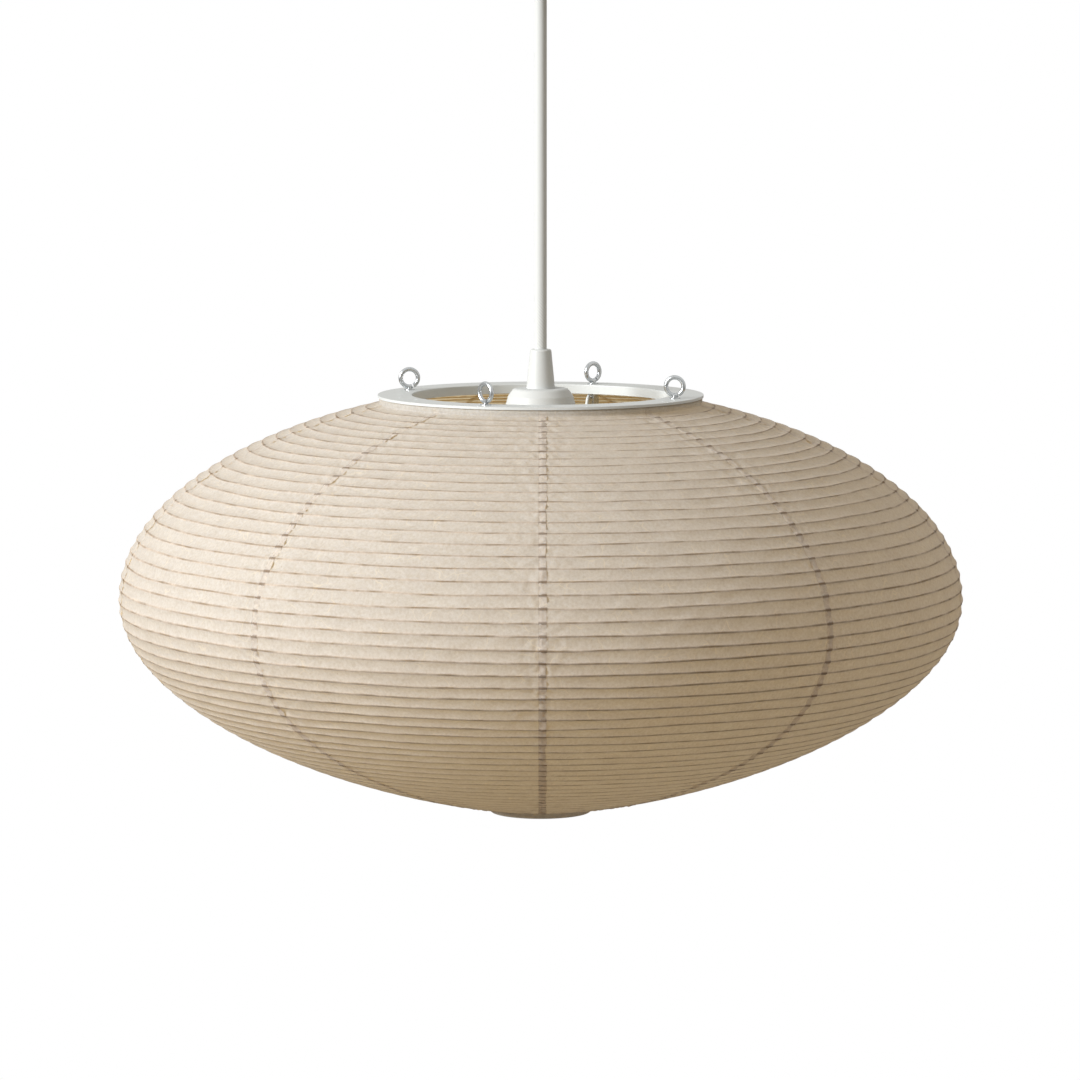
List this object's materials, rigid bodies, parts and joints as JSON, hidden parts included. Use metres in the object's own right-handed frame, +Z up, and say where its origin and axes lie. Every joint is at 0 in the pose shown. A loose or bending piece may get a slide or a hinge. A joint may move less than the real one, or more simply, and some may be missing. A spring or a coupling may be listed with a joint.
{
  "type": "paper lantern pendant lamp",
  "caption": "Wide flattened paper lantern on hoop ribs, with a flat top ring and hanging eyes, a screw lampholder on its own arms, and a straight textile cord to a ceiling cup.",
  "frame": {"origin": "on the ceiling face, above the cord, at the middle of the ceiling bracket's upper face", "axes": "+Z up, away from the room; +X to the right and -Y towards the viewer when the paper's front seam faces the viewer"},
  "size_m": [0.5, 0.5, 0.5494],
  "materials": {
    "paper": "natural mulberry paper with long fibres, unbleached",
    "rib_bamboo": "split bamboo, plain",
    "white_steel": "white powder coat, satin",
    "white_plastic": "white thermoplastic, fine matt grain",
    "terminal_plastic": "unglazed steatite, off-white",
    "bright_zinc": "bright zinc plating",
    "plain_steel": "drawn steel, clear zinc",
    "cord_textile": "white braided textile over a round cable",
    "contact_brass": "nickel-washed brass"
  },
  "bodies": {
    "lantern": {"arm_clips": "white_steel", "bolt_washers": "bright_zinc", "ceiling_bracket": "plain_steel", "clamp_screws": "plain_steel", "contact_spring": "plain_steel", "cord_clamp": "white_plastic", "cord_grip": "white_plastic", "holder_cap": "white_plastic", "holder_skirt": "white_plastic", "hub_plate": "white_steel", "paper_gore_1": "paper", "paper_gore_2": "paper", "paper_gore_3": "paper", "paper_gore_4": "paper", "paper_gore_5": "paper", "paper_gore_6": "paper", "paper_gore_7": "paper", "paper_gore_8": "paper", "paper_gore_9": "paper", "pendant_cord": "cord_textile", "rib_hoops_lower": "rib_bamboo", "rib_hoops_upper": "rib_bamboo", "rod_guides": "plain_steel", "screw_shell": "contact_brass", "socket_insert": "terminal_plastic", "spider_arm_1": "white_steel", "spider_arm_2": "white_steel", "spider_arm_3": "white_steel", "spider_arm_4": "white_steel", "terminal_block": "terminal_plastic", "terminal_screws": "plain_steel", "top_hoop": "plain_steel", "top_ring": "white_steel"},
    "canopy": {"canopy_cup": "white_steel", "canopy_gland": "white_plastic", "gland_nut": "white_plastic", "gland_screw": "plain_steel"},
    "stretcher": {"bottom_ring": "white_steel", "bottom_cuff": "paper", "stretcher_rod_1": "plain_steel", "stretcher_rod_2": "plain_steel", "rod_caps": "white_plastic"},
    "clamp_ring": {"shade_ring": "white_plastic"},
    "contact": {"centre_contact": "contact_brass"},
    "eye_1": {"eye_bolt_1": "bright_zinc"},
    "nut_1": {"wing_nut_1": "bright_zinc"},
    "eye_2": {"eye_bolt_2": "bright_zinc"},
    "nut_2": {"wing_nut_2": "bright_zinc"},
    "eye_3": {"eye_bolt_3": "bright_zinc"},
    "nut_3": {"wing_nut_3": "bright_zinc"},
    "eye_4": {"eye_bolt_4": "bright_zinc"},
    "nut_4": {"wing_nut_4": "bright_zinc"},
    "thumb_1": {"rod_screw_1": "bright_zinc"},
    "thumb_2": {"rod_screw_2": "bright_zinc"}
  },
  "joints": [
    {"name": "shade_fold", "type": "slide", "parent": "lantern", "child": "stretcher", "axis": [0, 0, 1], "range_m": [0, 0.19], "deforming": ["paper_gore_1", "paper_gore_2", "paper_gore_3", "paper_gore_4", "paper_gore_5", "paper_gore_6", "paper_gore_7", "paper_gore_8", "paper_gore_9", "rib_hoops_upper", "rib_hoops_lower"]},
    {"name": "canopy_slide", "type": "slide", "parent": "lantern", "child": "canopy", "axis": [0, 0, -1], "range_m": [0, 0.06]},
    {"name": "clamp_ring_turn", "type": "hinge", "parent": "lantern", "child": "clamp_ring", "pos_m": [0, 0, -0.3235], "axis": [0, 0, 1], "continuous": true},
    {"name": "contact_press", "type": "slide", "parent": "lantern", "child": "contact", "axis": [0, 0, 1], "range_m": [0, 0.0015], "stiffness_N_per_m": 800, "springref_m": -0.0005, "deforming": ["contact_spring"]},
    {"name": "eye_turn_1", "type": "hinge", "parent": "lantern", "child": "eye_1", "pos_m": [0.03169, 0.07844, -0.3], "axis": [0, 0, 1], "continuous": true},
    {"name": "nut_turn_1", "type": "hinge", "parent": "eye_1", "child": "nut_1", "pos_m": [0.03169, 0.07844, -0.307], "axis": [0, 0, 1], "continuous": true},
    {"name": "eye_turn_2", "type": "hinge", "parent": "lantern", "child": "eye_2", "pos_m": [-0.07844, 0.03169, -0.3], "axis": [0, 0, 1], "continuous": true},
    {"name": "nut_turn_2", "type": "hinge", "parent": "eye_2", "child": "nut_2", "pos_m": [-0.07844, 0.03169, -0.307], "axis": [0, 0, 1], "continuous": true},
    {"name": "eye_turn_3", "type": "hinge", "parent": "lantern", "child": "eye_3", "pos_m": [-0.03169, -0.07844, -0.3], "axis": [0, 0, 1], "continuous": true},
    {"name": "nut_turn_3", "type": "hinge", "parent": "eye_3", "child": "nut_3", "pos_m": [-0.03169, -0.07844, -0.307], "axis": [0, 0, 1], "continuous": true},
    {"name": "eye_turn_4", "type": "hinge", "parent": "lantern", "child": "eye_4", "pos_m": [0.07844, -0.03169, -0.3], "axis": [0, 0, 1], "continuous": true},
    {"name": "nut_turn_4", "type": "hinge", "parent": "eye_4", "child": "nut_4", "pos_m": [0.07844, -0.03169, -0.307], "axis": [0, 0, 1], "continuous": true},
    {"name": "thumb_turn_1", "type": "hinge", "parent": "lantern", "child": "thumb_1", "pos_m": [0.0511, 0.02034, -0.32275], "axis": [0.9291, 0.3697, 0], "continuous": true},
    {"name": "thumb_turn_2", "type": "hinge", "parent": "lantern", "child": "thumb_2", "pos_m": [-0.0511, -0.02034, -0.32275], "axis": [-0.9291, -0.3697, 0], "continuous": true}
  ]
}
